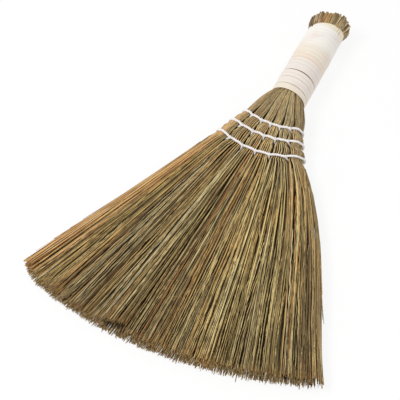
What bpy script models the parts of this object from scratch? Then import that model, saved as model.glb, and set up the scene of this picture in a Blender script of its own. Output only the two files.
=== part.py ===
"""Corn whisk broom, lying on its broad face with the butt of its handle towards +Y.

Six hurls of straw stand side by side. Their stalks fill the wrapped handle, three rows of
twine hold them at the neck, and their strands fan out to a trimmed edge.
Metres, +Z up. The origin lies on the table, under the middle of the wrapped handle.
"""
import math
import random
from collections import namedtuple

import bmesh
import bpy
from mathutils import Vector

# Clearances
clearance = 0.0003
bundle_gap = 0.0006
neck_gap = 0.0009
overrun = 0.0050

# Handle wrap: one flat strip wound round the stalks
grip_radius = 0.01875
strip_width = 0.0040
strip_thickness = 0.0010
turn_gap = 0.00074
wrap_turns = 20
wrap_lean_share = 0.31
loop_points = 24
flat_depth = 0.0005

# Twine: a band round the broom in each row, and a thread that sews it through the grooves
band_radius = 0.0012
band_dip = 0.0005
band_lap = 0.0005
thread_radius = 0.0008
thread_spacing = 0.0007
chord_sag = 0.0004
groove_ease = 0.0003
slant_share = 1.4
crown_share = 0.6
tangent_angle = math.radians(4)
top_angles = tuple(math.radians(angle) for angle in (115, 90, 65))
side_angles = tuple(math.radians(angle) for angle in (46, 22))

# Neck, from inside the wrap to the swelling above the first row
seat_depth = 0.0060
collar_reach = 0.0002
shoulder_reach = 0.0040
shoulder_left = 0.0212
shoulder_right = 0.0206
shoulder_top = 0.0366
swell_reach = 0.0186
swell_left = 0.0280
swell_right = 0.0270
swell_top = 0.0312
swell_rise = 0.0030
neck_low = 0.0009

# Stitched rows, first to third, measured from the wrap's lower end
row_reaches = (0.0378, 0.0531, 0.0726)
row_lefts = (0.0330, 0.0400, 0.0460)
row_rights = (0.0296, 0.0359, 0.0438)
row_tops = (0.0262, 0.0256, 0.0252)
row_rises = (0.0080, 0.0095, 0.0138)
row_skews = (0.0009, 0.0016, 0.0025)
row_swell = 0.0012
swell_shares = (0.34, 0.66)
row_low = 0.0045

# Fan, from below the last row to the trimmed edge
root_drop = 0.0100
root_left = 0.0535
root_right = 0.0520
root_top = 0.0262
root_rise = 0.0150
root_skew = 0.0030
edge_reach = 0.2981
edge_left = 0.1456
edge_right = 0.1560
edge_top = 0.0205
edge_rise = 0.0290
edge_skew = 0.0075
edge_bow = 0.0110
trim_scatter = 0.0025
crown_scatter = 0.0026
strand_gap = 0.0009
parting_half = 0.0011

# Butt of the handle
mouth_depth = 0.0023
butt_length = 0.0100
butt_left = 0.0210
butt_right = 0.0240
butt_top = 0.0412
butt_scatter = 0.0018
peg_gap = 0.0005

# Division into hurls, as shares of the half width
stalk_shares = (-1.0, -0.58, -0.28, 0.0, 0.28, 0.58, 1.0)
fan_shares = (-1.0, -0.77, -0.35, 0.0, 0.35, 0.77, 1.0)
hurl_columns = (10, 18, 16, 16, 16, 10)
strand_layers = 4
bend_shares = ((0.30,), (0.30,), (0.30,), (), (0.25, 0.60), (0.25, 0.60))
opening_shares = (
    (0.0, 0.3, 1.0),
    (0.0, 0.3, 1.0),
    (0.0, 0.3, 1.0),
    (0.0, 1.0),
    (0.0, 0.3, 1.0, 0.5),
    (0.0, 0.3, 1.0, 0.5),
)
parting_columns = ((3, 6), (4, 7, 13), (5, 8, 12), (4, 9, 13), (5, 9, 12, 16), (0, 4, 7))
stalk_columns = 2
stalk_layers = 7
flute_share = 0.055
least_width_share = 0.4
peak_share = 1 / 3
ridge_power = 0.7
trim_seed = 7

# Shape of the sections: how round the whole one is, and how round each hurl in it is
bundle_lobe_share = 0.12
shoulder_round_share = 0.95
shoulder_lobe_share = 0.25
shoulder_spread_share = 0.2
swell_round_share = 0.8
swell_lobe_share = 0.4
swell_spread_share = 0.75
row_round_share = 0.55
row_lobe_share = 0.65
bulge_lobe_share = 0.4
root_round_share = 0.45
root_lobe_share = 0.35
edge_round_share = 0.30
butt_round_share = 0.9

# Colours and roughness
straw_colors = (
    (0.42, 0.27, 0.11),
    (0.36, 0.30, 0.14),
    (0.33, 0.28, 0.13),
    (0.38, 0.30, 0.15),
    (0.35, 0.29, 0.13),
    (0.40, 0.30, 0.14),
)
stalk_color = (0.34, 0.25, 0.11)
strip_color = (0.85, 0.82, 0.76)
twine_color = (0.90, 0.89, 0.86)
straw_roughness = 0.75
strip_roughness = 0.45
twine_roughness = 0.8

# Worked out from the sizes above
hurl_count = len(hurl_columns)
strip_pitch = strip_width + turn_gap
wrap_length = wrap_turns * strip_pitch + strip_width
wrap_end = -wrap_length / 2
axis_height = grip_radius - flat_depth
strip_inner = grip_radius - strip_thickness
bundle_radius = strip_inner * math.cos(math.pi / loop_points) - clearance
rim_skew = bundle_radius * (wrap_lean_share - strip_pitch / 4 / grip_radius)
bundle_low = axis_height - bundle_radius
bundle_top = axis_height + bundle_radius
row_gap = 2 * (thread_radius + clearance) + groove_ease
band_offset = band_radius + clearance + chord_sag
thread_offset = thread_radius + clearance + chord_sag
hop = band_radius + thread_radius + clearance
stride = slant_share * hop
thread_step = 2 * thread_radius + thread_spacing
lap_shift = 2 * band_radius + band_lap
waist_half = band_dip + stride + thread_radius + clearance

Station = namedtuple(
    "Station",
    "reach left right low top roundness lobe gap spread rise skew pressed bow",
    defaults=(0.0, 0.0, 0.0, 0.0),
)


def mix(start, end, share):
    return start + (end - start) * share


def rounded(across, up, roundness):
    """A place in the square from -1 to 1, drawn towards the circle inside it."""
    return (
        across * math.sqrt(1 - roundness * up ** 2 / 2),
        up * math.sqrt(1 - roundness * across ** 2 / 2),
    )


def place(station, across, up):
    """The broom's point at a station, for a place in its whole section."""
    side, height = rounded(across, up, station.roundness)
    if up < 0:
        height = mix(height, up, station.pressed)
    half_width = station.right if side > 0 else station.left
    bow = station.bow * side ** 2 if side > 0 else 0.0
    middle = (station.low + station.top) / 2
    half_height = (station.top - station.low) / 2
    return Vector((
        side * half_width + bow,
        wrap_end - station.reach + station.rise * side ** 2 + station.skew * side,
        middle + height * half_height,
    ))


def hurl_bounds(station, hurl):
    """The two sides of a hurl, as shares of the half width, with half a gap taken off."""
    bounds = []
    for border, inward in ((hurl, 1), (hurl + 1, -1)):
        share = mix(stalk_shares[border], fan_shares[border], station.spread)
        half_width = station.right if share > 0 else station.left
        if 0 < border < hurl_count:
            share += inward * station.gap / 2 / half_width
        bounds.append(share)
    return bounds


def hurl_point(station, hurl, across, up):
    """A point of one hurl, for a place in the square that stands for its own section."""
    lobe_across, lobe_up = rounded(across, up, station.lobe)
    start, end = hurl_bounds(station, hurl)
    return place(station, mix(start, end, (lobe_across + 1) / 2), lobe_up)


def row_station(row):
    return Station(
        reach=row_reaches[row],
        left=row_lefts[row],
        right=row_rights[row],
        low=row_low,
        top=row_tops[row],
        roundness=row_round_share,
        lobe=row_lobe_share,
        gap=row_gap,
        spread=1.0,
        rise=row_rises[row],
        skew=row_skews[row],
    )


def blend(first, second, share):
    return Station(*(mix(start, end, share) for start, end in zip(first, second)))


def between_rows(upper, lower):
    """Two sections of the hurls where they swell between two rows."""
    sections = []
    for share in swell_shares:
        middle = blend(upper, lower, share)
        sections.append(middle._replace(
            left=middle.left + row_swell,
            right=middle.right + row_swell,
            low=middle.low - row_swell,
            top=middle.top + row_swell,
            lobe=bulge_lobe_share,
            gap=bundle_gap,
        ))
    return sections


def waist(row):
    """The two sections that bound the level waist in which a row of twine lies."""
    return [row._replace(reach=row.reach + shift) for shift in (-waist_half, waist_half)]


def bundle_station(reach):
    """A round section of the stalks, as it is inside the wrap."""
    return Station(
        reach=reach,
        left=bundle_radius,
        right=bundle_radius,
        low=bundle_low,
        top=bundle_top,
        roundness=1.0,
        lobe=bundle_lobe_share,
        gap=bundle_gap,
        spread=0.0,
    )


seat = bundle_station(-seat_depth)
collar = bundle_station(collar_reach)
shoulder = Station(
    reach=shoulder_reach,
    left=shoulder_left,
    right=shoulder_right,
    low=neck_low,
    top=shoulder_top,
    roundness=shoulder_round_share,
    lobe=shoulder_lobe_share,
    gap=neck_gap,
    spread=shoulder_spread_share,
)
swell = Station(
    reach=swell_reach,
    left=swell_left,
    right=swell_right,
    low=neck_low,
    top=swell_top,
    roundness=swell_round_share,
    lobe=swell_lobe_share,
    gap=neck_gap,
    spread=swell_spread_share,
    rise=swell_rise,
)
rows = [row_station(row) for row in range(len(row_reaches))]
root = Station(
    reach=row_reaches[-1] + root_drop,
    left=root_left,
    right=root_right,
    low=0.0,
    top=root_top,
    roundness=root_round_share,
    lobe=root_lobe_share,
    gap=bundle_gap,
    spread=1.0,
    rise=root_rise,
    skew=root_skew,
    pressed=1.0,
)
edge = Station(
    reach=edge_reach,
    left=edge_left,
    right=edge_right,
    low=0.0,
    top=edge_top,
    roundness=edge_round_share,
    lobe=0.0,
    gap=strand_gap,
    spread=1.0,
    rise=edge_rise,
    skew=edge_skew,
    pressed=1.0,
)
backing = [
    seat,
    collar,
    shoulder,
    swell,
    *waist(rows[0]),
    *between_rows(rows[0], rows[1]),
    *waist(rows[1]),
    *between_rows(rows[1], rows[2]),
    *waist(rows[2]),
    root,
]
foot = bundle_station(-seat_depth - clearance)
mouth = bundle_station(mouth_depth - wrap_length)._replace(skew=rim_skew)
butt = bundle_station(-wrap_length - butt_length)._replace(
    left=butt_left,
    right=butt_right,
    top=butt_top,
    roundness=butt_round_share,
    skew=rim_skew,
)


def grid_shares(count):
    return [-1 + 2 * step / count for step in range(count + 1)]


def outline_keys(columns, layers):
    """Grid places round the border of a hurl's section, in order."""
    under = [(column, 0) for column in range(columns)]
    right = [(columns, layer) for layer in range(layers)]
    over = [(column, layers) for column in range(columns, 0, -1)]
    left = [(0, layer) for layer in range(layers, 0, -1)]
    return under + right + over + left


def add_ring(mesh, station, hurl, keys, across_shares, up_shares):
    """One section of a hurl, with every other point drawn in so that stems show."""
    ring = []
    for index, (column, layer) in enumerate(keys):
        draw = 1 - flute_share * (index % 2)
        point = hurl_point(station, hurl, across_shares[column] * draw, up_shares[layer] * draw)
        ring.append(mesh.verts.new(point))
    return ring


def join_rings(mesh, first, second):
    """Faces between two sections, the second with as many points as the first or a multiple."""
    finer = len(second) // len(first)
    for index in range(len(first)):
        following = (index + 1) % len(first)
        far_side = [second[(index * finer + step) % len(second)] for step in range(finer, -1, -1)]
        mesh.faces.new([first[index], first[following]] + far_side)


def cell_corners(station, hurl, across_shares, up_shares, column, layer, gap, partings=(0.0, 0.0)):
    """Corners of one strand at a station, drawn in by half a gap, and by a parting on each side."""
    corners = [
        hurl_point(station, hurl, across_shares[column + right], up_shares[layer + upper])
        for right, upper in ((0, 0), (1, 0), (1, 1), (0, 1))
    ]
    width = (corners[1] - corners[0]).length
    height = (corners[3] - corners[0]).length
    inset = min(gap, (1 - least_width_share) * width) / 2
    shrink = min(gap, (1 - least_width_share) * height) / 2
    for corner, across, up in zip(corners, (1, -1, -1, 1), (1, 1, -1, -1)):
        corner.x += across * inset
        corner.z += up * shrink
    lower_left, lower_right, upper_right, upper_left = corners
    if layer == 0 and station.pressed:
        lower_left.z = station.low
        lower_right.z = station.low
    left, right = (parting / width for parting in partings)
    return [
        lower_left.lerp(lower_right, left),
        lower_right.lerp(lower_left, right),
        upper_right.lerp(upper_left, right),
        upper_left.lerp(upper_right, left),
    ]


def join_cells(mesh, first, second):
    """Sides of a strand in triangles, whose slants match on facing strands so that none cross."""
    for index in range(len(first)):
        following = (index + 1) % len(first)
        near, far = (index, following) if index < 2 else (following, index)
        mesh.faces.new([first[index], first[following], second[far]])
        mesh.faces.new([first[near], second[following], second[index]])


def grow_strand(mesh, base, sections):
    """A strand from a cell of the backing through its sections, closed at its tip."""
    previous = base
    for corners in sections:
        ring = [mesh.verts.new(corner) for corner in corners]
        join_cells(mesh, previous, ring)
        previous = ring
    mesh.faces.new(previous)


def build_bundle(name, hurl, stations, columns, layers, sections_of):
    """A lofted bundle whose last section splits into strands that stay joined at their roots."""
    mesh = bmesh.new()
    across_shares = grid_shares(columns)
    up_shares = grid_shares(layers)
    keys = outline_keys(columns, layers)
    rings = [
        add_ring(mesh, station, hurl, keys[::2], across_shares, up_shares)
        for station in stations[:-1]
    ]
    rings.append(add_ring(mesh, stations[-1], hurl, keys, across_shares, up_shares))
    for first, second in zip(rings, rings[1:]):
        join_rings(mesh, first, second)
    mesh.faces.new(rings[0])
    grid = dict(zip(keys, rings[-1]))
    for column in range(1, columns):
        for layer in range(1, layers):
            point = hurl_point(stations[-1], hurl, across_shares[column], up_shares[layer])
            grid[column, layer] = mesh.verts.new(point)
    for column in range(columns):
        for layer in range(layers):
            base = [
                grid[column + right, layer + upper]
                for right, upper in ((0, 0), (1, 0), (1, 1), (0, 1))
            ]
            sections = sections_of(hurl, across_shares, up_shares, column, layer)
            grow_strand(mesh, base, sections)
    bmesh.ops.recalc_face_normals(mesh, faces=mesh.faces)
    data = bpy.data.meshes.new(name)
    mesh.to_mesh(data)
    mesh.free()
    return add_object(name, data)


def bend(share):
    """A section of the fan between its root and its edge, pushed out on the bowed side."""
    bow = edge_bow * share * (1 - share) ** 2 / (peak_share * (1 - peak_share) ** 2)
    return blend(root, edge, share)._replace(bow=bow)


def uneven(sections, scatter):
    """The sections after the first, with the last one moved along the strand by a chance length."""
    length = random.uniform(-scatter, scatter)
    tip = [end + (end - start).normalized() * length for start, end in zip(*sections[-2:])]
    return sections[1:-1] + [tip]


def parting_half_widths(hurl, column, openness):
    """How far a strand stands back from the partings on its two sides."""
    return [
        parting_half * openness if border in parting_columns[hurl] else 0.0
        for border in (column, column + 1)
    ]


def fan_sections(hurl, across_shares, up_shares, column, layer):
    """Sections of a fan strand: some bend or stand back from a parting, and the top ones are ridged."""
    on_top = layer == strand_layers - 1
    drops = [random.uniform(0.0, crown_scatter) if on_top else 0.0 for _ in range(2)]
    sections = []
    for share, openness in zip((0.0, *bend_shares[hurl], 1.0), opening_shares[hurl]):
        partings = parting_half_widths(hurl, column, openness)
        corners = cell_corners(bend(share), hurl, across_shares, up_shares, column, layer,
                               strand_gap * share, partings)
        lower_left, lower_right, upper_right, upper_left = corners
        left, right = (drop * share ** ridge_power / (upper_left - lower_left).length for drop in drops)
        sections.append([
            lower_left,
            lower_right,
            upper_right.lerp(lower_right, right),
            upper_left.lerp(lower_left, left),
        ])
    return uneven(sections, trim_scatter)


def butt_sections(hurl, across_shares, up_shares, column, layer):
    """Sections of a stalk's cut end, which leans out and ends at its own height."""
    sections = [
        cell_corners(mouth, hurl, across_shares, up_shares, column, layer, 0.0),
        cell_corners(butt, hurl, across_shares, up_shares, column, layer, peg_gap),
    ]
    return uneven(sections, butt_scatter)


def add_object(name, data):
    built = bpy.data.objects.new(name, data)
    parts.objects.link(built)
    return built


def paint(built, color, roughness):
    material = bpy.data.materials.new(built.name)
    material.use_nodes = True
    shader = material.node_tree.nodes["Principled BSDF"]
    shader.inputs["Base Color"].default_value = (*color, 1.0)
    shader.inputs["Roughness"].default_value = roughness
    shader.inputs["Metallic"].default_value = 0.0
    built.data.materials.append(material)


def wrap_point(turn, radius, along):
    """A point of the wound strip, after a number of turns from the handle's underside."""
    angle = 2 * math.pi * turn
    side = radius * math.sin(angle)
    lean = wrap_lean_share * turn / wrap_turns * side
    return Vector((
        side,
        wrap_end + strip_width / 2 + turn * strip_pitch + lean + along,
        axis_height - radius * math.cos(angle),
    ))


def build_wrap():
    """The strip's section is swept round the handle, leaning more with each turn, and cut flat."""
    mesh = bmesh.new()
    rings = [
        [
            mesh.verts.new(wrap_point(step / loop_points, radius, along))
            for radius, along in (
                (strip_inner, -strip_width / 2),
                (grip_radius, -strip_width / 2),
                (grip_radius, strip_width / 2),
                (strip_inner, strip_width / 2),
            )
        ]
        for step in range(wrap_turns * loop_points + 1)
    ]
    for first, second in zip(rings, rings[1:]):
        join_rings(mesh, first, second)
    mesh.faces.new(rings[0])
    mesh.faces.new(rings[-1])
    bmesh.ops.recalc_face_normals(mesh, faces=mesh.faces)
    data = bpy.data.meshes.new("handle_wrap")
    mesh.to_mesh(data)
    mesh.free()
    wrap = add_object("handle_wrap", data)
    bpy.ops.mesh.primitive_cube_add(size=1.0)
    table = bpy.context.object
    table.name = "table_side"
    table.scale = (2 * grip_radius, wrap_length + 2 * overrun, overrun)
    table.location = (0.0, 0.0, -overrun / 2)
    for collection in table.users_collection:
        collection.objects.unlink(table)
    cutters.objects.link(table)
    table.hide_render = True
    table.display_type = "WIRE"
    cut = wrap.modifiers.new("flat_side", "BOOLEAN")
    cut.operation = "DIFFERENCE"
    cut.solver = "EXACT"
    cut.object = table
    return wrap


def least_turn_gap():
    """The least gap between the strip's edges in neighbouring turns, on its own points."""
    steps = wrap_turns * loop_points
    upper = [wrap_point(step / loop_points, grip_radius, strip_width / 2) for step in range(steps + 1)]
    lower = [wrap_point(step / loop_points, grip_radius, -strip_width / 2) for step in range(steps + 1)]
    least = strip_pitch
    for index, point in enumerate(upper):
        for other in lower[index + loop_points // 2:index + 2 * loop_points]:
            least = min(least, (point - other).length)
    return least


def section_point(station, hurl, angle):
    """A point on the border of a hurl's section in the direction of an angle."""
    across = math.cos(angle)
    up = math.sin(angle)
    reach = max(abs(across), abs(up))
    return hurl_point(station, hurl, across / reach, up / reach)


def beside_hurl(station, hurl, angle, offset, shift=0.0):
    """A point at an offset outside a hurl, moved along the broom by a shift."""
    point = section_point(station, hurl, angle)
    after = section_point(station, hurl, angle + tangent_angle)
    tangent = after - section_point(station, hurl, angle - tangent_angle)
    point += Vector((tangent.z, 0.0, -tangent.x)).normalized() * offset
    point.y += shift
    return point


def over_groove(station, groove, side):
    """The band's point over a groove, on the front (side 1) or the back (side -1)."""
    before = beside_hurl(station, groove, side * top_angles[-1], band_offset)
    after = beside_hurl(station, groove + 1, side * top_angles[0], band_offset)
    return (before + after) / 2 - Vector((0.0, band_dip, 0.0))


def in_groove(station, groove, up, shift):
    """A point midway between the two hurls beside a groove, moved along the broom by a shift."""
    point = (hurl_point(station, groove, 1, up) + hurl_point(station, groove + 1, -1, up)) / 2
    point.y += shift - band_dip
    return point


def band_side(station, side):
    """The band's points from left to right over the front or the back of the hurls."""
    points = [beside_hurl(station, 0, side * (math.pi - angle), band_offset) for angle in side_angles[::-1]]
    for hurl in range(hurl_count):
        points.extend(beside_hurl(station, hurl, side * angle, band_offset) for angle in top_angles)
        if hurl < hurl_count - 1:
            points.append(over_groove(station, hurl, side))
    return points


def build_band(row):
    """The band goes once round the broom, and its ends lie side by side under the right side."""
    station = rows[row]
    last = hurl_count - 1
    lower, upper = side_angles
    points = [beside_hurl(station, last, angle, band_offset) for angle in (-upper, 0.0, upper, lower)]
    points += band_side(station, 1)[::-1]
    points.append(beside_hurl(station, 0, math.pi, band_offset))
    points += band_side(station, -1)
    points += [beside_hurl(station, last, -angle, band_offset, -lap_shift) for angle in side_angles]
    return add_tube("band_%d" % (row + 1), points, band_radius)


def thread_loop(station, groove):
    """The thread through one groove: up, over the front band, down, and under the back band."""
    front = over_groove(station, groove, 1)
    back = over_groove(station, groove, -1)
    along = Vector((0.0, stride, 0.0))
    crown = Vector((0.0, crown_share * stride, hop))
    sole = Vector((0.0, crown_share * stride, -hop))
    flat = Vector((1.0, -1.0, 1.0))
    following = beside_hurl(station, groove + 1, -top_angles[0], band_offset)
    step = (following - back).normalized() * thread_step
    rising = [back + along] + [in_groove(station, groove, up, stride) for up in (-1, 0, 1)]
    over = [front + along, front + crown, front + crown * flat, front - along]
    falling = [in_groove(station, groove, up, -stride) for up in (1, 0, -1)] + [back - along]
    under = [back + sole * flat, back + sole + step, back + along + step]
    return rising + over + falling + under


def build_thread(row):
    """The thread sews the band down at each groove and runs on along the back."""
    station = rows[row]
    last = hurl_count - 1
    back_reach = stride - band_dip
    points = [beside_hurl(station, 0, -top_angles[-1], thread_offset, back_reach)]
    for groove in range(last):
        points.extend(thread_loop(station, groove))
        angle = top_angles[1] if groove + 1 < last else top_angles[0]
        points.append(beside_hurl(station, groove + 1, -angle, thread_offset, back_reach))
    return add_tube("thread_%d" % (row + 1), points, thread_radius)


def add_tube(name, points, radius):
    curve = bpy.data.curves.new(name, "CURVE")
    curve.dimensions = "3D"
    curve.bevel_depth = radius
    curve.bevel_resolution = 1
    curve.use_fill_caps = True
    spline = curve.splines.new("POLY")
    spline.points.add(len(points) - 1)
    for control, point in zip(spline.points, points):
        control.co = (*point, 1.0)
    return add_object(name, curve)


for leftover in list(bpy.data.objects):
    bpy.data.objects.remove(leftover)
parts = bpy.data.collections.new("corn_whisk_broom")
cutters = bpy.data.collections.new("cutters")
for collection in (parts, cutters):
    bpy.context.scene.collection.children.link(collection)
random.seed(trim_seed)

for hurl in range(hurl_count):
    number = hurl + 1
    straw = build_bundle("hurl_%d" % number, hurl, backing, hurl_columns[hurl], strand_layers, fan_sections)
    paint(straw, straw_colors[hurl], straw_roughness)
    stalks = build_bundle("stalks_%d" % number, hurl, (foot, mouth), stalk_columns, stalk_layers,
                          butt_sections)
    paint(stalks, stalk_color, straw_roughness)

wrap = build_wrap()
paint(wrap, strip_color, strip_roughness)
print("least gap between turns of the strip: %.2f mm" % (least_turn_gap() * 1000))

for row in range(len(rows)):
    paint(build_band(row), twine_color, twine_roughness)
    paint(build_thread(row), twine_color, twine_roughness)
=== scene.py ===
"""Corn whisk broom: its straw, stalk ends, wound strip and twine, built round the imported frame."""
import math

import bmesh
import bpy
import numpy as np
from mathutils import Matrix, Vector


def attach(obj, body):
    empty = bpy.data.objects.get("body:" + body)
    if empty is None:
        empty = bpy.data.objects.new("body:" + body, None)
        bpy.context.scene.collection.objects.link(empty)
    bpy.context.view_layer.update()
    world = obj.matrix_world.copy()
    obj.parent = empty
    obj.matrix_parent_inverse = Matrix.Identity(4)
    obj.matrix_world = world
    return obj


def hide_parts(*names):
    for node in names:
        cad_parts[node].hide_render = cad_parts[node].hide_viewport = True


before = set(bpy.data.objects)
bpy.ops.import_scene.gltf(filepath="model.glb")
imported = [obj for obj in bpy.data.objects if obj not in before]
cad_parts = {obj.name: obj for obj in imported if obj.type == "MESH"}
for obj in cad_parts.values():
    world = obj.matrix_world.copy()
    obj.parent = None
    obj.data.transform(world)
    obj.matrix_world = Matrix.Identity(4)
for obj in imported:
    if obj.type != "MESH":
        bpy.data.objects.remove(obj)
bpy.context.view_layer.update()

# Sizes in metres. Reaches run from reach_start towards the trimmed edge of the fan, but rim_reach
# and butt_length run the other way. A side is -1 at the broom's left and 1 at its right.
reach_start = -0.0440
row_reaches = (0.0432, 0.0585, 0.0780)
root_reach = 0.0880
edge_reach = 0.3035
edge_bow = 0.0085
bow_peak = 4 / 27
rim_reach = 0.0898
strip_low = -0.0044
butt_length = 0.0130
grip_radius = 0.01875
flat_depth = 0.0005
axis_height = grip_radius - flat_depth
bundle_radius = 0.0173
band_radius = 0.0012
band_dip = 0.0008
band_offset = 0.00125
lap_shift = 0.0029
thread_radius = 0.00074
waist_half = 0.00482
full_turn = 6.28

# The borders of the six hurls, as shares of the half width, in the handle and in the fan
stalk_shares = np.array([-1.0, -0.58, -0.28, 0.0, 0.28, 0.58, 1.0])
fan_shares = np.array([-1.0, -0.77, -0.35, 0.0, 0.35, 0.77, 1.0])
hurl_count = 6
last_hurl = hurl_count - 1

# The fields of a section across the broom: its half widths and heights, how round it and each hurl
# are, the gap between hurls, how far they have spread from the stalks' shares to the fan's, how y
# changes with the side, and how flat the underside is pressed
FIELDS = "left right low top roundness lobe gap spread rise skew pressed".split()
ROUNDNESS, LOBE, GAP = 4, 5, 6


def station(left, right, low, top, roundness, lobe, gap, spread=1.0, rise=0.0, skew=0.0,
            pressed=0.0):
    return np.array([left, right, low, top, roundness, lobe, gap, spread, rise, skew, pressed])


bundle = station(bundle_radius, bundle_radius, axis_height - bundle_radius,
                 axis_height + bundle_radius, 1.0, 0.12, 0.0006, 0.0)
neck = station(0.0210, 0.0204, 0.0009, 0.0362, 0.95, 0.05, 0.0002, 0.2)
shoulder = station(0.0278, 0.0268, 0.0009, 0.0312, 0.8, 0.10, 0.0003, 0.75, 0.0030)
rows = [
    station(0.0330, 0.0296, 0.0045, 0.0262, 0.55, 0.40, 0.0014, 1.0, 0.0080, 0.0009),
    station(0.0400, 0.0359, 0.0045, 0.0256, 0.55, 0.40, 0.0014, 1.0, 0.0095, 0.0016),
    station(0.0460, 0.0438, 0.0045, 0.0252, 0.55, 0.40, 0.0014, 1.0, 0.0138, 0.0025),
]
root = station(0.0508, 0.0508, 0.0, 0.0262, 0.45, 0.08, 0.0003, 1.0, 0.0150, 0.0030, 1.0)
edge = station(0.1450, 0.1550, 0.0, 0.0205, 0.30, 0.0, 0.0002, 1.0, 0.0290, 0.0075, 1.0)

# Between two rows the straw swells by these amounts, and past a row it widens by these slopes
row_swell = np.array([0.0006, 0.0012, -0.0006, 0.0007])
row_flares = np.array([0.36, 0.08])
swollen_lobe = 0.25
swollen_gap = 0.0003


def clamped(value):
    return np.clip(value, 0.0, 1.0)


def unit(vectors):
    return vectors / np.linalg.norm(vectors, axis=-1, keepdims=True)


def between(start, end, across):
    """The place between a start and an end for a place from -1 to 1."""
    return start + (end - start) * (across + 1) / 2


def eased(t, start, end, leaving, arriving):
    """Smooth values from start to end for t from 0 to 1, with the slopes at both."""
    return (
        (2 * t**3 - 3 * t**2 + 1) * start + (t**3 - 2 * t**2 + t) * leaving
        + (3 * t**2 - 2 * t**3) * end + (t**3 - t**2) * arriving
    )


def swollen(first, second, share):
    """The section between two rows, swollen a little on all sides."""
    middle = first + (second - first) * share
    middle[:4] += row_swell
    middle[LOBE] = swollen_lobe
    middle[GAP] = swollen_gap
    return middle


def flared(section, shift):
    """A row's section a little way along the broom, whose outline widens steadily past the row."""
    wider = section.copy()
    wider[:2] += row_flares * shift
    return wider


def knots():
    """The sections in order, each with its reach."""
    found = [(-0.0300, bundle), (0.0030, bundle), (0.0052, bundle), (0.0094, neck), (0.0240, shoulder)]
    for row in range(3):
        for shift in (-waist_half, waist_half):
            found.append((row_reaches[row] + shift, flared(rows[row], shift)))
        if row < 2:
            for share in (0.34, 0.66):
                reach = row_reaches[row] + (row_reaches[row + 1] - row_reaches[row]) * share
                found.append((reach, swollen(rows[row], rows[row + 1], share)))
    for share in (0.0, 0.15, 0.4, 0.7, 1.0, 1.06):
        found.append((root_reach + (edge_reach - root_reach) * share, root + (edge - root) * share))
    return found


def smooth_table():
    """Every field of the section along the broom, through the knots with no overshoot."""
    found = knots()
    reach = np.array([item[0] for item in found])
    value = np.array([item[1] for item in found])
    step = np.diff(reach)[:, None]
    slope = np.diff(value, axis=0) / step
    before, after = slope[:-1], slope[1:]
    steady = before * after > 0
    tangent = np.zeros_like(value)
    tangent[1:-1] = np.where(steady, 2 * before * after / np.where(steady, before + after, 1.0), 0.0)
    tangent[-1] = slope[-1]
    dense = np.linspace(reach[0], reach[-1], 1600)
    index = np.clip(np.searchsorted(reach, dense, side="right") - 1, 0, len(step) - 1)
    t = ((dense - reach[index]) / step[index, 0])[:, None]
    h = step[index]
    return dense, eased(t, value[index], value[index + 1], h * tangent[index], h * tangent[index + 1])


table_reach, table_value = smooth_table()


def fields(reach):
    return {name: np.interp(reach, table_reach, table_value[:, i]) for i, name in enumerate(FIELDS)}


def fan_share(reach):
    """How far down the fan a reach lies, from 0 at its root to 1 at the trimmed edge."""
    return (reach - root_reach) / (edge_reach - root_reach)


def bow_at(reach):
    """How far the right side bows out, greatest at a third of the fan's length."""
    share = clamped(fan_share(reach))
    return edge_bow * share * (1 - share) ** 2 / bow_peak


def rounded(across, up, roundness):
    return across * np.sqrt(1 - roundness * up**2 / 2), up * np.sqrt(1 - roundness * across**2 / 2)


def hurl_bounds(f, hurl):
    """The two sides of each straw's hurl, as shares of the half width."""
    found = []
    for border, inward in ((hurl, 1), (hurl + 1, -1)):
        share = stalk_shares[border] + (fan_shares[border] - stalk_shares[border]) * f["spread"]
        half = np.where(share > 0, f["right"], f["left"])
        inner = (border > 0) & (border < hurl_count)
        found.append(share + np.where(inner, inward * f["gap"] / 2 / half, 0.0))
    return found


def placed(f, reach, across, up):
    """Points of the whole section, for places in the square from -1 to 1."""
    side, height = rounded(across, up, f["roundness"])
    height = np.where(up < 0, height + (up - height) * f["pressed"], height)
    half = np.where(side > 0, f["right"], f["left"])
    bow = np.where(side > 0, bow_at(reach) * side**2, 0.0)
    x = side * half + bow
    y = reach_start - reach + f["rise"] * side**2 + f["skew"] * side
    z = (f["low"] + f["top"]) / 2 + height * (f["top"] - f["low"]) / 2
    return np.stack([x, y, z], axis=-1)


def hurl_points(hurl, reach, across, up):
    """Points inside the hurls, for places in each hurl's own square from -1 to 1."""
    reach = np.asarray(reach, float)
    f = fields(reach)
    lobe_across, lobe_up = rounded(across, up, f["lobe"])
    start, end = hurl_bounds(f, hurl)
    return placed(f, reach, between(start, end, lobe_across), lobe_up)


least_half = 0.0008


def half_sizes(hurl, reach):
    """Half the width and half the height of a hurl along its reach."""
    f = fields(reach)
    start, end = hurl_bounds(f, hurl)
    half = np.where((start + end) > 0, f["right"], f["left"])
    return np.maximum((end - start) / 2 * half, least_half), (f["top"] - f["low"]) / 2


def square_places(angle, power=1.0):
    """Places on the border of the square from -1 to 1, or inside its corners for a lower power."""
    across, up = np.cos(angle), np.sin(angle)
    grow = np.maximum(abs(across), abs(up)) ** power
    return across / grow, up / grow


def run_lengths(points):
    """The distance along a line of points, at each of them."""
    steps = np.linalg.norm(np.diff(points, axis=0), axis=1)
    return np.concatenate([[0.0], np.cumsum(steps)])


def outermost(hurl, across, least):
    """Whether a place lies past a share of its hurl, on a side of the broom."""
    return (hurl == 0) & (across < -least) | (hurl == last_hurl) & (across > least)


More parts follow.
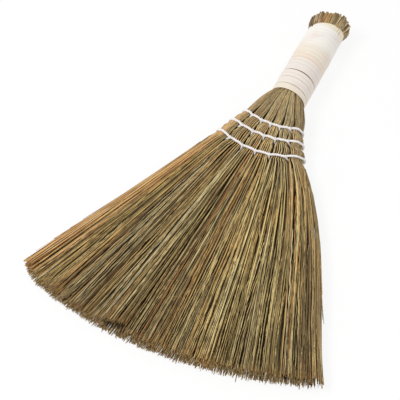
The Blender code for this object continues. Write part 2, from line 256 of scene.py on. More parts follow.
class Gathering:
    """Points, faces and per-point values that make one mesh."""

    def __init__(self):
        self.points, self.lays, self.zones = [], [], []
        self.quads, self.others = [], []
        self.quad_slots, self.other_slots = [], []
        self.count = 0

    def add(self, points, quads, others, lays=0.0, zones=0.0, slot=0):
        self.points.append(points.reshape(-1, 3))
        self.lays.append(np.broadcast_to(lays, points.shape).reshape(-1, 3))
        self.zones.append(np.broadcast_to(zones, points.shape).reshape(-1, 3))
        self.quads.append(quads.reshape(-1, 4) + self.count)
        self.quad_slots += [slot] * len(self.quads[-1])
        self.others += [face + self.count for face in others]
        self.other_slots += [slot] * len(others)
        self.count += len(self.points[-1])

    def mesh(self, name):
        points = np.concatenate(self.points)
        quads = np.concatenate(self.quads)
        sizes = np.array([4] * len(quads) + [len(face) for face in self.others])
        corners = np.concatenate([quads.ravel()] + self.others).astype(np.int32)
        starts = np.concatenate([[0], np.cumsum(sizes)[:-1]]).astype(np.int32)
        data = bpy.data.meshes.new(name)
        data.vertices.add(len(points))
        data.vertices.foreach_set("co", points.astype(np.float32).ravel())
        data.loops.add(len(corners))
        data.loops.foreach_set("vertex_index", corners)
        data.polygons.add(len(sizes))
        data.polygons.foreach_set("loop_start", starts)
        data.polygons.foreach_set("material_index", self.quad_slots + self.other_slots)
        data.polygons.foreach_set("use_smooth", [True] * len(quads) + [False] * len(self.others))
        for label, told in (("lay", self.lays), ("zone", self.zones)):
            layer = data.attributes.new(label, "FLOAT_VECTOR", "POINT")
            layer.data.foreach_set("vector", np.concatenate(told).astype(np.float32).ravel())
        data.update(calc_edges=True)
        data.validate()
        return data


def sleeve(rings, sides):
    """The faces of a tube's wall, ring by ring, and the two caps that close it."""
    ring = np.arange(rings - 1)[:, None] * sides
    side = np.arange(sides)
    following = (side + 1) % sides
    wall = np.stack(np.broadcast_arrays(
        ring + side, ring + following, ring + sides + following, ring + sides + side), axis=-1)
    return wall, [side[::-1], (rings - 1) * sides + side]


def ring_points(paths, radii, first, second, angles):
    """Points round each place of the paths, in the plane of two directions there."""
    turned = angles[..., None, :, None]
    offset = np.cos(turned) * first[..., None, :] + np.sin(turned) * second[..., None, :]
    return paths[..., None, :] + radii[..., None, None] * offset


# The bevel and the hollow of a cut end: how far past it, and how wide, as shares of the radius
cut_rings = ((0.25, 0.78), (-0.2, 0.40))


def add_tubes(gathering, paths, radii, sides, lays, zones, turns, cut=False):
    """Closed tubes along many paths at once: paths is (tubes, rings, 3) and radii (tubes, rings)."""
    tangent = unit(np.gradient(paths, axis=1))
    if cut:
        end, size, last = paths[:, -1:], radii[:, -1:], tangent[:, -1:]
        for step, share in cut_rings:
            paths = np.concatenate([paths, end + last * size[..., None] * step], axis=1)
            radii = np.concatenate([radii, size * share], axis=1)
            tangent = np.concatenate([tangent, last], axis=1)
    tubes, rings = radii.shape
    first = unit(np.cross(tangent, (0.0, 0.0, 1.0)))
    angles = 2 * np.pi * np.arange(sides) / sides + turns[:, None]
    points = ring_points(paths, radii, first, np.cross(first, tangent), angles)
    along = np.linspace(0.0, 1.0, rings)
    told = np.stack(np.broadcast_arrays(lays[0][:, None], lays[1][:, None], along), axis=-1)
    wall, caps = sleeve(rings, sides)
    starts = np.arange(tubes) * rings * sides
    others = [start + cap for start in starts for cap in caps]
    gathering.add(points, starts[:, None, None, None] + wall, others, told[:, :, None],
                  np.stack(zones, axis=-1)[:, None, None])


def value_noise(rng, places, cells, low, high):
    """Smooth chance values along a line of places from low to high."""
    heights = rng.random(cells + 2)
    spot = (places - low) / (high - low) * cells
    index = np.clip(spot.astype(int), 0, cells)
    share = clamped(spot - index)
    share = share * share * (3 - 2 * share)
    return heights[index] * (1 - share) + heights[np.minimum(index + 1, cells + 1)] * share


def border_places(hurl, count, reach, depth):
    """Places evenly round the border of a hurl's section, drawn in by a depth."""
    turn = np.linspace(0.0, 2 * np.pi, 361)
    across, up = square_places(turn)
    length = run_lengths(hurl_points(hurl, np.full(len(turn), reach), across, up))
    spots = (np.arange(count) + 0.5) / count * length[-1]
    return np.interp(spots, length, across) * depth, np.interp(spots, length, up) * depth


# Straw of the hurls: stems start inside the wrap, and finer straws at the root of the fan
stem_radius = 0.00062
fibre_radius = 0.00058
straw_spacing = 0.00200
stems_round = 34
stems_inside = 22
layers = 16
full_layers = 5
fan_start = 0.0835
fan_half_width = 0.15
stem_steps = np.concatenate([[-0.0140, -0.0050], np.linspace(0.0005, 0.0860, 20)])
taper_reaches = (-0.02, 0.03, 0.085, 0.16, 0.31)
taper_radii = (stem_radius, stem_radius, stem_radius * 0.95, fibre_radius * 1.1, fibre_radius * 0.8)

# Places where the straw parts: share of the fan's half width, half the gap, and share of the fan's
# length where it opens
partings = [
    (0.59, 0.0023, 0.50), (0.805, 0.0029, 0.42), (0.975, 0.0028, 0.24), (0.70, 0.0006, 0.60),
    (-0.61, 0.0008, 0.15), (-0.36, 0.0004, 0.20), (0.12, 0.0004, 0.15), (0.30, 0.0004, 0.05),
    (-0.79, 0.0005, 0.10), (-0.168, 0.0012, 0.50),
]
chances = np.random.default_rng(3)
for centre in np.linspace(-0.97, 0.97, 46):
    partings.append((centre + chances.uniform(-0.015, 0.015), chances.uniform(0.0001, 0.0004),
                     chances.uniform(0.0, 0.6)))
parting_growth = 0.35
parting_core = 0.0003
parting_fade = 0.0045


def parted(side, reach, depth):
    """How far straw moves sideways where the fan parts into tufts, in metres."""
    shift = np.zeros(np.broadcast(side, reach).shape)
    for centre, half, opening in partings:
        away = (side - centre) * fan_half_width
        grown = clamped((fan_share(reach) - opening) / parting_growth) ** 0.8
        shift += half * grown * np.tanh(away / parting_core) * np.exp(-abs(away) / parting_fade)
    return shift * (1 - 0.4 * depth)


def side_of(hurl, across):
    """The share of the whole fan's half width for a place across one hurl."""
    return between(fan_shares[hurl], fan_shares[hurl + 1], across)


def held(hurl, a, b, thick, wide, high):
    """Places drawn in by the straw's own thickness, so that it stays inside the broom."""
    a = np.where((hurl == 0) & (a < 0), np.maximum(a, -1 + thick / wide), a)
    a = np.where((hurl == last_hurl) & (a > 0), np.minimum(a, 1 - thick / wide), a)
    return a, np.clip(b, -1.0, 1.0) * (1 - (thick + 0.0001) / high)


def waves(rng, reach, shortest, longest):
    """A wave along each straw, of a chance length and start."""
    wave = rng.uniform(shortest, longest, (len(reach), 1))
    return np.sin(2 * np.pi * (reach / wave + rng.random((len(reach), 1))))


def stem_paths(rng, hurl, across, up, ends):
    """Stems that run from inside the wrap to the trimmed edge, thinner towards their tips."""
    count = len(across)
    fan = np.linspace(0.0, 1.0, 9)[1:]
    reach = np.concatenate([
        np.broadcast_to(stem_steps, (count, len(stem_steps))),
        stem_steps[-1] + (ends[:, None] - stem_steps[-1]) * fan,
    ], axis=1)
    wide, high = half_sizes(hurl, reach)
    thick = np.interp(reach, taper_reaches, taper_radii) * rng.uniform(0.8, 1.3, (count, 1))
    wander = waves(rng, reach, 0.025, 0.080) + waves(rng, reach, 0.025, 0.080)
    wander *= rng.uniform(0.0, 0.00028, (count, 1))
    a = across[:, None] + wander / wide
    b = up[:, None] + np.roll(wander, 3, axis=1) / high
    a = a + parted(side_of(hurl, across)[:, None], reach, 0.5 - up[:, None] / 2) / wide
    inner = np.clip(a, -1.0, 1.0) * np.clip(1 - thick / wide, 0.2, 1.0)
    free = clamped((reach - 0.09) / 0.05)
    outer, b = held(hurl, a, b, thick, wide, high)
    return hurl_points(hurl, reach, inner + (outer - inner) * free, b), thick


def fan_paths(rng, hurl, across, up, begin, ends, rings, stray):
    """Fine straws that come out of the hurl at a start and reach the trimmed edge."""
    count = len(across)
    share = np.linspace(0.0, 1.0, rings)
    reach = begin[:, None] + (ends - begin)[:, None] * share
    wide, high = half_sizes(hurl, reach)
    thick = fibre_radius * rng.uniform(0.70, 1.30, (count, 1)) * (1.12 - 0.45 * share**3)
    lean = rng.normal(0.0, stray, (count, 1)) * (1 - fan_share(reach)) * 0.010
    wander = waves(rng, reach, 0.05, 0.16) * rng.uniform(0.0, 0.0006, (count, 1))
    wander += waves(rng, reach, 0.014, 0.028) * rng.uniform(0.0, 0.0004, (count, 1))
    shift = parted(side_of(hurl, across)[:, None], reach, clamped(0.5 - up[:, None] / 2))
    risen = 1 - np.exp(-(reach - begin[:, None]) / 0.012)
    drawn_in = 0.14 * outermost(hurl, across, 0.5)[:, None] * (1 - risen)
    a = across[:, None] * (1 - drawn_in) + (lean + wander + shift) / wide
    a, b = held(hurl, np.clip(a, -1.15, 1.15), up[:, None] * (0.72 + 0.28 * risen), thick, wide, high)
    return hurl_points(hurl, reach, a, b), thick


def straw_values(rng, hurl, across, up):
    """Each straw's own tone, the tone of its tuft, and where in the fan it lies."""
    side = side_of(hurl, across)
    tuft = 0.55 * value_noise(np.random.default_rng(11), side, 52, -1.3, 1.3)
    tuft += 0.45 * value_noise(np.random.default_rng(12), side, 15, -1.3, 1.3)
    tuft = clamped(tuft + rng.normal(0.0, 0.09, len(across)))
    depth = clamped(0.5 - up / 2)
    return (rng.random(len(across)), tuft), (side, depth, rng.random(len(across)))


# Tips: their mean and scatter from the trimmed edge, the share of odd ones and their range, the
# slope of the left corner, the limits, and the depth and place of the step left of the middle
tip_mean, tip_scatter = -0.0020, 0.0010
odd_share, odd_range = 0.05, (-0.005, 0.0045)
corner_side, corner_slope = 0.90, 0.055
tip_limits = (-0.012, 0.0040)
step_depth, step_side = 0.0085, -0.175


def trim(rng, side):
    """Where each tip ends: close to the trimmed edge, earlier at the left corner, a few past it."""
    count = len(side)
    ends = rng.normal(tip_mean, tip_scatter, count)
    odd = rng.random(count) < odd_share
    ends[odd] += rng.uniform(*odd_range, odd.sum())
    ends -= corner_slope * np.clip(abs(np.minimum(side, 0.0)) - corner_side, 0.0, 1 - corner_side)
    return edge_reach + np.clip(ends, *tip_limits)


def stepped(side):
    """How much earlier the upper straws end left of the middle, where the trimmed edge has a step."""
    return np.where(side < step_side, step_depth * clamped((side + 0.40) / 0.20), 0.0)


def add_straws(gathering, rng, hurl, across, up, paths, thick, sides=3):
    """Straws along their paths, each with its own values and turn."""
    lays, zones = straw_values(rng, hurl, across, up)
    turns = rng.random(len(across)) * full_turn
    add_tubes(gathering, paths, thick, sides, lays, zones, turns)


def build_hurl(hurl):
    """Stems, layers of fine straw, strays, hairs at the broom's sides, and a dark core of painted
    shade.
    """
    rng = np.random.default_rng(100 + hurl)
    gathering = Gathering()
    for count, inset in ((stems_round, 1.0), (stems_inside, 0.84)):
        across, up = border_places(hurl, count, row_reaches[1], inset)
        across = across + rng.normal(0.0, 0.02, count)
        side = side_of(hurl, across)
        ends = trim(rng, side) - stepped(side) * (up > 0.3)
        paths, thick = stem_paths(rng, hurl, across, up, ends)
        add_straws(gathering, rng, hurl, across, up, paths, thick, 5)
    f = fields(np.array(edge_reach))
    start, end = hurl_bounds(f, hurl)
    width = float((end - start) * (f["right"] if end > 0 else f["left"]))
    columns = int(width / straw_spacing)
    for layer in range(layers):
        spots = np.arange(columns) + 0.5 * (layer % 2) + rng.uniform(0.1, 0.8, columns)
        across = -1 + 2 * (spots / columns % 1)
        up = 1 - 2 * layer / (layers - 1) + rng.normal(0.0, 0.04, columns)
        full = layer < full_layers or layer > layers - 3
        long = full | outermost(hurl, across, 0.80)
        later = clamped(rng.random(columns) - 0.50) / 0.50
        begin = np.where(long, fan_start + rng.uniform(0.0, 0.006, columns) + later * 0.170,
                         edge_reach - rng.uniform(0.030, 0.060, columns))
        side = side_of(hurl, across)
        ends = trim(rng, side) + 0.0008 * (layer > 2) - stepped(side) * (layer < 6)
        for chosen, rings in ((long, 36 if layer < 2 else 14), (~long, 4)):
            if chosen.any():
                places = across[chosen], up[chosen]
                paths, thick = fan_paths(rng, hurl, *places, begin[chosen], ends[chosen], rings, 0.35)
                add_straws(gathering, rng, hurl, *places, paths, thick)
    add_strays(gathering, rng, hurl, columns // 5)
    if hurl in (0, last_hurl):
        add_hairs(gathering, rng, hurl)
    add_core(gathering, hurl)
    return gathering


def add_strays(gathering, rng, hurl, count):
    """Straws that lie across the others at a slight angle, on top of the fan."""
    across = rng.uniform(-1.0, 1.0, count)
    up = rng.uniform(0.9, 1.0, count)
    begin = rng.uniform(0.090, 0.200, count)
    ends = np.minimum(begin + rng.uniform(0.05, 0.16, count), edge_reach - 0.004)
    paths, thick = fan_paths(rng, hurl, across, up, begin, ends, 8, 1.2)
    add_straws(gathering, rng, hurl, across, up, paths, thick * 0.75)


def add_hairs(gathering, rng, hurl):
    """Thin straws that stand a little off the outer sides of the fan."""
    count, rings = 9, 14
    outward = -1.0 if hurl == 0 else 1.0
    across = np.full(count, outward)
    up = rng.uniform(-0.2, 0.7, count)
    begin = rng.uniform(0.120, 0.220, count)
    ends = np.minimum(begin + rng.uniform(0.05, 0.14, count), edge_reach - 0.001)
    paths, thick = fan_paths(rng, hurl, across, up, begin, ends, rings, 0.0)
    share = np.linspace(0.0, 1.0, rings) ** 2
    paths[:, :, 0] += outward * share * rng.uniform(0.0008, 0.0026, (count, 1))
    add_straws(gathering, rng, hurl, across, up, paths, thick * 0.62)


def add_core(gathering, hurl):
    """A dark core of painted shade that closes the view between the straws and down the grooves."""
    count = 24
    turn = np.linspace(0.0, 2 * np.pi, count, endpoint=False)
    across, up = square_places(turn, 0.8)
    reach = np.linspace(-0.0120, edge_reach - 0.0350, 110)
    wide, _ = half_sizes(hurl, reach)
    outer = outermost(hurl, across, 0.0)
    a = np.broadcast_to(across * np.where(outer, 0.60, 0.76), (len(reach), count))
    b = np.broadcast_to(up * 0.62, (len(reach), count))
    border = 1 + fields(reach)["gap"] / 2 / wide
    level = abs(np.sin(turn)) < 0.3
    a = np.where(~outer & level, np.sign(across) * border[:, None], a)
    made = hurl_points(hurl, np.broadcast_to(reach[:, None], a.shape), a, b)
    gathering.add(made, *sleeve(len(reach), count), slot=1)


def add_object(name, data):
    made = bpy.data.objects.new(name, data)
    bpy.context.scene.collection.objects.link(made)
    return made


def add_piece(name, gathering, materials, slot, *nodes):
    """A piece of the broom that stands for its nodes of the frame."""
    piece = add_object(name, gathering.mesh(name))
    for material in materials:
        piece.data.materials.append(material)
    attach(piece, "root")
    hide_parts(*nodes)


# Materials
white = (1.0, 1.0, 1.0, 1.0)


def linear(*levels):
    """A colour written in the usual 0 to 255 steps, as the shader takes it."""
    shares = [level / 255 for level in levels]
    return tuple(s / 12.92 if s <= 0.04045 else ((s + 0.055) / 1.055) ** 2.4 for s in shares) + (1.0,)


class Nodes:
    """Short calls for the nodes of one material."""

    def __init__(self, name):
        self.material = bpy.data.materials.new(name)
        self.material.use_nodes = True
        self.tree = self.material.node_tree
        self.shader = self.tree.nodes["Principled BSDF"]

    def add(self, kind, **settings):
        node = self.tree.nodes.new("ShaderNode" + kind)
        for key, value in settings.items():
            setattr(node, key, value)
        return node

    def link(self, source, target):
        self.tree.links.new(source, target)

    def fill(self, node, values):
        """Numbers or links for some inputs of a node, each with the input's name or place."""
        for key, value in values.items():
            if isinstance(value, bpy.types.NodeSocket):
                self.link(value, node.inputs[key])
            else:
                node.inputs[key].default_value = value
        return node.outputs[0]

    def math(self, operation, first, second=0.0):
        return self.fill(self.add("Math", operation=operation), {0: first, 1: second})

    def times(self, first, second):
        return self.math("MULTIPLY", first, second)

    def spread(self, value, low, high, to_low=0.0, to_high=1.0):
        """A value from low to high made one from to_low to to_high, and held there past both."""
        return self.fill(self.add("MapRange"), {0: value, 1: low, 2: high, 3: to_low, 4: to_high})

    def vector(self, x, y, z):
        return self.fill(self.add("CombineXYZ"), {0: x, 1: y, 2: z})

    def noise(self, vector, scale, detail=2.0, roughness=0.5):
        return self.fill(self.add("TexNoise"), {
            "Vector": vector, "Scale": scale, "Detail": detail, "Roughness": roughness})

    def ramp(self, value, stops):
        """A colour that runs through stops, each a position and its levels from 0 to 255."""
        node = self.add("ValToRGB")
        elements = node.color_ramp.elements
        while len(elements) < len(stops):
            elements.new(0.5)
        for element, (position, *levels) in zip(elements, stops):
            element.position = position
            element.color = linear(*levels)
        return self.fill(node, {0: value})

    def mix(self, share, first, second, blend="MIX"):
        """The first colour with a share of the second, through the node's colour sockets."""
        node = self.add("Mix", data_type="RGBA", blend_type=blend)
        self.fill(node, {0: share, 6: first, 7: second})
        return node.outputs[2]

    def told(self, name):
        """Three values told to each point of a piece."""
        node = self.add("Attribute", attribute_name=name)
        split = self.add("SeparateXYZ")
        self.link(node.outputs["Vector"], split.inputs[0])
        return split.outputs

    def place(self):
        """Coordinates of the surface in metres."""
        split = self.add("SeparateXYZ")
        where = self.add("TexCoord").outputs["Object"]
        self.link(where, split.inputs[0])
        return where, split.outputs

    def bump(self, height, strength, distance):
        node = self.add("Bump")
        self.fill(node, {"Height": height, "Strength": strength, "Distance": distance})
        self.link(node.outputs[0], self.shader.inputs["Normal"])

    def done(self, color, roughness, specular):
        self.fill(self.shader, {
            "Base Color": color, "Roughness": roughness, "Specular IOR Level": specular})
        return self.material


def straw_material():
    n = Nodes("straw")
    tone, tuft, along = n.told("lay")
    side, depth, chance = n.told("zone")
    where, (x, y, _) = n.place()
    own = n.ramp(tone, [
        (0.00, 92, 65, 34),
        (0.16, 140, 105, 59),
        (0.32, 208, 170, 106),
        (0.54, 244, 211, 138),
        (0.78, 255, 237, 172),
        (1.00, 255, 248, 208),
    ])
    zone = n.ramp(n.spread(side, -1.05, 1.05), [
        (0.024, 242, 208, 166),
        (0.035, 232, 152, 72),
        (0.058, 228, 152, 74),
        (0.075, 206, 174, 102),
        (0.180, 186, 152, 90),
        (0.205, 138, 106, 76),
        (0.235, 168, 140, 92),
        (0.400, 164, 140, 96),
        (0.476, 146, 114, 82),
        (0.560, 200, 166, 104),
        (0.700, 255, 222, 138),
        (0.820, 250, 226, 145),
        (0.930, 218, 196, 136),
        (0.962, 255, 218, 152),
        (1.000, 255, 214, 150),
    ])
    bunch = n.ramp(tuft, [
        (0.18, 156, 128, 92),
        (0.38, 190, 162, 104),
        (0.55, 204, 176, 112),
        (0.72, 222, 180, 106),
        (0.88, 228, 164, 84),
    ])
    patch = n.ramp(n.noise(n.vector(n.times(x, 34.0), n.times(y, 11.0), 1.7), 1.0), [
        (0.30, 156, 146, 116),
        (0.46, 198, 178, 118),
        (0.56, 226, 184, 108),
        (0.68, 226, 158, 84),
    ])
    # Mostly patches above the fan, mostly zones in it, both mixed with each straw's own tone
    zone = n.mix(n.spread(y, -0.115, -0.150, 0.15, 0.62), patch, zone)
    color = n.mix(n.spread(side, 0.10, 0.45, 0.56, 0.42), n.mix(0.30, zone, bunch), own)
    # A few warm and a few green straws, and dark spots along each
    warm = n.times(n.math("GREATER_THAN", chance, 0.93), 0.55)
    color = n.mix(warm, color, linear(226, 148, 74))
    green = n.times(n.math("LESS_THAN", chance, 0.06), 0.5)
    color = n.mix(green, color, linear(142, 140, 86))
    spot = n.noise(n.vector(n.times(tone, 37.0), n.times(chance, 23.0), n.times(along, 15.0)), 1.6, 3.0)
    color = n.mix(n.spread(spot, 0.36, 0.58, 0.70, 0.0), color, linear(84, 61, 32))
    # Painted shade in soft patches: a neutral grey multiplied over the straw
    patchy_shade = n.ramp(n.noise(where, 45.0), [(0.32, 176, 168, 160), (0.66, 255, 252, 246)])
    color = n.mix(0.25, color, patchy_shade, "MULTIPLY")
    # The warm left border, a dimmer left half, and dimmer tips and painted shade in a parting at the
    # right
    color = n.mix(n.spread(side, -0.955, -0.978, 0.0, 0.30), color, linear(232, 156, 82))
    dim = n.math("MINIMUM", n.spread(side, 0.16, 0.40, 0.17, 0.0),
                 n.spread(side, -0.93, -0.80, 0.0, 0.17))
    dim = n.times(dim, n.spread(y, -0.150, -0.175))
    tips = n.times(n.spread(side, 0.36, 0.50), n.spread(y, -0.240, -0.310, 0.0, 0.16))
    color = n.mix(n.math("ADD", dim, tips), color, linear(18, 16, 24))
    # Painted shade: a dark brown streak down the parting near the broom's right side
    parting_shade = n.times(n.spread(side, 0.956, 0.964), n.spread(side, 0.984, 0.979))
    parting_shade = n.times(parting_shade, n.spread(y, -0.165, -0.205, 0.0, 0.66))
    color = n.mix(parting_shade, color, linear(66, 50, 32))
    # Brown cut tips, and painted shade darkening the straw deeper inside the broom
    color = n.mix(n.spread(along, 0.975, 1.0, 0.0, 0.40), color, linear(168, 118, 62))
    inside = n.math("MINIMUM", depth, n.math("SUBTRACT", 1.0, depth))
    # Painted shade: darker with depth, less so at the broom's sides and near the cut ends
    low = n.times(n.spread(inside, 0.015, 0.12, 0.0, 0.90),
                  n.spread(n.math("ABSOLUTE", side), 0.92, 0.99, 1.0, 0.2))
    low = n.times(low, n.spread(along, 0.90, 0.965, 1.0, 0.15))
    color = n.mix(low, color, linear(58, 44, 25))
    # A greyer stitched part, and painted shade darkening the straw next to and under the wrap
    grey = n.mix(n.spread(y, -0.160, -0.095, 0.0, 0.32), color, linear(212, 188, 146))
    grey = n.mix(n.spread(y, -0.094, -0.072, 0.0, 0.30), grey, linear(70, 62, 46))
    color = n.mix(n.math("SUBTRACT", 1.0, low), color, grey)
    return n.done(color, roughness=0.55, specular=0.35)


# Painted shade: dark brown for the solid core that stands for the shade deep between the straws
def core_material():
    n = Nodes("straw_shade_core")
    where, _ = n.place()
    color = n.ramp(n.noise(where, 240.0, 3.0), [(0.3, 40, 28, 12), (0.7, 74, 56, 28)])
    return n.done(color, roughness=0.9, specular=0.1)


def stalk_material():
    n = Nodes("cut_stalks")
    tone, _, along = n.told("lay")
    side, _, _ = n.told("zone")
    _, (x, y, _) = n.place()
    own = n.ramp(tone, [
        (0.00, 62, 44, 28),
        (0.24, 116, 90, 60),
        (0.55, 206, 172, 122),
        (1.00, 255, 232, 186),
    ])
    zone = n.ramp(n.spread(side, -1.0, 1.0), [
        (0.05, 116, 92, 76),
        (0.25, 176, 140, 104),
        (0.42, 234, 176, 108),
        (0.56, 206, 170, 108),
        (0.70, 152, 138, 96),
        (0.95, 186, 166, 124),
    ])
    color = n.mix(0.55, zone, own)
    # Dark grain along each stalk, and a greyer cut end
    grain = n.noise(n.vector(n.times(tone, 91.0), n.times(x, 900.0), n.times(y, 60.0)), 1.0, 4.0, 0.6)
    color = n.mix(n.spread(grain, 0.38, 0.60, 0.75, 0.0), color, linear(66, 46, 30))
    color = n.mix(n.spread(along, 0.78, 0.95, 0.0, 0.55), color, linear(150, 124, 116))
    n.bump(grain, 0.4, 0.0003)
    return n.done(color, roughness=0.7, specular=0.25)


def strip_material():
    n = Nodes("wound_strip")
    turn, across, along = n.told("lay")
    _, (x, y, _) = n.place()
    color = n.ramp(n.math("ADD", n.times(y, 11.0), 0.5), [
        (0.00, 240, 230, 210),
        (0.08, 240, 231, 222),
        (0.24, 241, 230, 220),
        (0.34, 240, 232, 226),
        (0.50, 242, 232, 216),
        (0.62, 246, 236, 220),
        (0.72, 250, 246, 238),
        (0.955, 250, 246, 239),
        (0.990, 246, 234, 208),
    ])
    # A stain round the middle turns, a blush in patches, streaks along the strip, and painted shade
    # along the borders where the turns meet
    stain = n.noise(n.vector(n.times(x, 55.0), n.times(y, 120.0), 0.0), 1.0, 3.0)
    stained = n.times(n.spread(y, -0.012, -0.004), n.spread(y, 0.010, 0.002))
    stained = n.times(stained, n.spread(stain, 0.42, 0.66, 0.0, 0.42))
    color = n.mix(stained, color, linear(246, 214, 182))
    blush = n.noise(n.vector(n.times(x, 40.0), n.times(y, 60.0), 3.0), 1.0)
    color = n.mix(n.spread(blush, 0.50, 0.70, 0.0, 0.45), color, linear(236, 212, 204))
    streak = n.noise(n.vector(n.times(along, 60.0), n.times(across, 7.0), turn), 1.0, 3.0)
    color = n.mix(n.spread(streak, 0.50, 0.78, 0.0, 0.22), color, linear(196, 182, 170))
    # Painted shade in the creases between the turns
    border = n.math("ABSOLUTE", across)
    color = n.mix(n.spread(border, 0.43, 0.50, 0.0, 0.80), color, linear(204, 188, 172))
    n.bump(streak, 0.25, 0.0002)
    return n.done(color, roughness=0.5, specular=0.35)


def twine_material():
    n = Nodes("white_twine")
    where, _ = n.place()
    fuzz = n.noise(where, 2200.0, 3.0)
    color = n.ramp(fuzz, [(0.25, 226, 220, 222), (0.65, 255, 252, 250)])
    n.bump(fuzz, 0.35, 0.0001)
    return n.done(color, roughness=0.85, specular=0.15)


# Twine: how the thread stands off the straw and along the broom between the grooves, and its moves
# from the place on a groove where the band passes
thread_lift = 0.0007
thread_rise = 0.0020
thread_drop = 0.0013
thread_step = 0.0008
into_groove = np.array([
    (-0.0018, 0.0010, -0.0003), (-0.0012, 0.0, -0.0011), (-0.0008, -0.0012, -0.0005)])
front_loop = np.array([
    (-0.0007, -0.0010, 0.0004), (-0.0005, -0.0002, 0.0011), (0.0, 0.0009, 0.0008),
    (0.0005, -0.0002, 0.0011), (0.0007, -0.0010, 0.0004)])
out_of_groove = np.array([
    (0.0008, -0.0014, -0.0005), (0.0012, 0.0, -0.0011), (0.0018, 0.0012, -0.0003)])

# A ply's thickness as a share of its room, there and at its ends, with its lumps and ripples
ply_fullness, ply_end = 1.12, 0.6
lump_length, lump_share = 0.0035, 0.22
ripple_length, ripple_share = 0.0031, 0.05

# Degrees round a hurl's section where the band has points: 0 is right and 90 is up
over_hurl = (115, 90, 65)
round_side = (22, 46)


def section_point(row, hurl, angle):
    return hurl_points(hurl, row_reaches[row], *square_places(angle))


def beside_hurl(row, hurl, degrees, offset, shift=0.0):
    """A point at an offset outside a hurl, moved along the broom by a shift."""
    angle = math.radians(degrees)
    step = math.radians(4)
    point = section_point(row, hurl, angle)
    tangent = section_point(row, hurl, angle + step) - section_point(row, hurl, angle - step)
    point = point + unit(np.array([tangent[2], 0.0, -tangent[0]])) * offset
    point[1] += shift
    return point


def over_groove(row, groove, side):
    """The band's point over a groove, in front for side 1 and behind for side -1."""
    before = beside_hurl(row, groove, side * over_hurl[-1], band_offset)
    after = beside_hurl(row, groove + 1, side * over_hurl[0], band_offset)
    return (before + after) / 2 - np.array([0.0, band_dip, 0.0])


def in_groove(row, groove, up, shift):
    """A point in the middle of a groove, at a height from -1 to 1."""
    reach = row_reaches[row]
    point = (hurl_points(groove, reach, 1, up) + hurl_points(groove + 1, reach, -1, up)) / 2
    point[1] += shift - band_dip
    return point


def band_side(row, side):
    """The band's points from left to right, in front for side 1 and behind for side -1."""
    points = [beside_hurl(row, 0, side * (180 - degrees), band_offset) for degrees in round_side]
    for hurl in range(hurl_count):
        points += [beside_hurl(row, hurl, side * degrees, band_offset) for degrees in over_hurl]
        if hurl < last_hurl:
            points.append(over_groove(row, hurl, side))
    return points


def band_route(row):
    """Once round the broom, from under its right side and back there beside the start."""
    points = [beside_hurl(row, last_hurl, degrees, band_offset) for degrees in (-22, 0, *round_side)]
    points += band_side(row, 1)[::-1]
    points.append(beside_hurl(row, 0, 180, band_offset))
    points += band_side(row, -1)
    points += [beside_hurl(row, last_hurl, -degrees, band_offset, -lap_shift)
               for degrees in round_side[::-1]]
    points = np.array(points)
    points[:, 1] += np.random.default_rng(70 + row).uniform(-0.00025, 0.00025, len(points))
    return points


def thread_route(row):
    """The thread comes up below the band, loops over it, goes down again and crosses it behind."""
    rng = np.random.default_rng(60 + row)
    heights = (-1, 0, 0.8)
    points = [beside_hurl(row, 0, -90, thread_lift, thread_rise)]
    for groove in range(last_hurl):
        front, back = over_groove(row, groove, 1), over_groove(row, groove, -1)
        points += [back + move for move in into_groove]
        points += [in_groove(row, groove, up, -thread_drop) for up in heights]
        slack = rng.uniform([0.5, 0.7, 0.9], [1.1, 1.3, 1.3])
        points += [front + move * slack for move in front_loop]
        points += [in_groove(row, groove, up, -thread_drop - thread_step) for up in heights[::-1]]
        points += [back + move for move in out_of_groove]
        points.append(beside_hurl(row, groove + 1, -90, thread_lift, thread_rise))
    return np.array(points)


def smooth_route(points, spacing):
    """A smooth line through the points of a route, with even steps."""
    tight = 0.36
    t = np.linspace(0.0, 1.0, 12, endpoint=False)[:, None]
    ends = np.concatenate([[2 * points[0] - points[1]], points, [2 * points[-1] - points[-2]]])
    fine = []
    for i in range(1, len(ends) - 2):
        p0, p1, p2, p3 = ends[i - 1:i + 3]
        fine.append(eased(t, p1, p2, tight * (p2 - p0), tight * (p3 - p1)))
    fine = np.concatenate(fine + [ends[-2:-1]])
    length = run_lengths(fine)
    spots = np.linspace(0.0, length[-1], int(length[-1] / spacing) + 1)
    return np.stack([np.interp(spots, length, fine[:, k]) for k in range(3)], axis=1), spots


def turning_frames(route):
    """Two directions square to the route that turn as little as they can along it."""
    tangent = unit(np.gradient(route, axis=0))
    first = np.cross(tangent[0], [0.0, 0.0, 1.0])
    if np.linalg.norm(first) < 0.1:
        first = np.cross(tangent[0], [1.0, 0.0, 0.0])
    frames = []
    for direction in tangent:
        first = unit(first - direction * np.dot(first, direction))
        frames.append(first)
    return np.array(frames), np.cross(tangent, frames)


def build_twine(route, radius, plies, pitch, spacing, sides, seed):
    """Plies laid round each other along a route, closed at both ends."""
    rng = np.random.default_rng(seed)
    line, spots = smooth_route(route, spacing)
    first, second = turning_frames(line)
    swell = 1 / math.sin(math.pi / plies) if plies > 2 else 1.0
    ply_radius = radius / (1 + swell)
    around = 2 * np.pi * np.arange(sides) / sides
    gathering = Gathering()
    for ply in range(plies):
        angle = 2 * np.pi * (spots / pitch + ply / plies)
        offset = np.cos(angle)[:, None] * first + np.sin(angle)[:, None] * second
        path = line + offset * ply_radius * swell
        lumps = value_noise(rng, spots, int(spots[-1] / lump_length), 0.0, spots[-1]) - 0.5
        ripples = np.sin(spots / ripple_length + rng.random() * 6)
        thick = ply_radius * ply_fullness * (1 + ripple_share * ripples + lump_share * lumps)
        thick[0] = thick[-1] = ply_radius * ply_end
        tangent = unit(np.gradient(path, axis=0))
        one = unit(first - tangent * np.sum(first * tangent, axis=1, keepdims=True))
        points = ring_points(path, thick, one, np.cross(tangent, one), around)
        gathering.add(points, *sleeve(len(path), sides))
    return gathering


